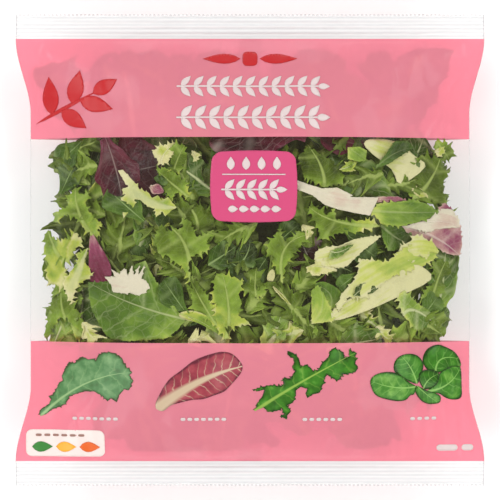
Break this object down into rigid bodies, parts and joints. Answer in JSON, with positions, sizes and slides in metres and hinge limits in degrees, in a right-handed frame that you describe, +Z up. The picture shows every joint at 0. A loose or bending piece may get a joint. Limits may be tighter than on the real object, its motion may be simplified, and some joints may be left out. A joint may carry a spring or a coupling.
{
  "type": "bag of salad leaves",
  "caption": "Sealed pillow bag of mixed salad leaves: clear film with two translucent pink bands, a crimped zigzag seal at each end and a back fin seal.",
  "frame": {"origin": "on the resting plane, under the middle of the bag", "axes": "+X to the right of the printed front, +Y to its top, +Z up out of the front: the bag lies on its back"},
  "size_m": [0.25, 0.252, 0.0623],
  "materials": {
    "printed_film": "clear glossy film with translucent pink print"
  },
  "bodies": {
    "root": {"salad_bag": "printed_film"}
  },
  "joints": []
}
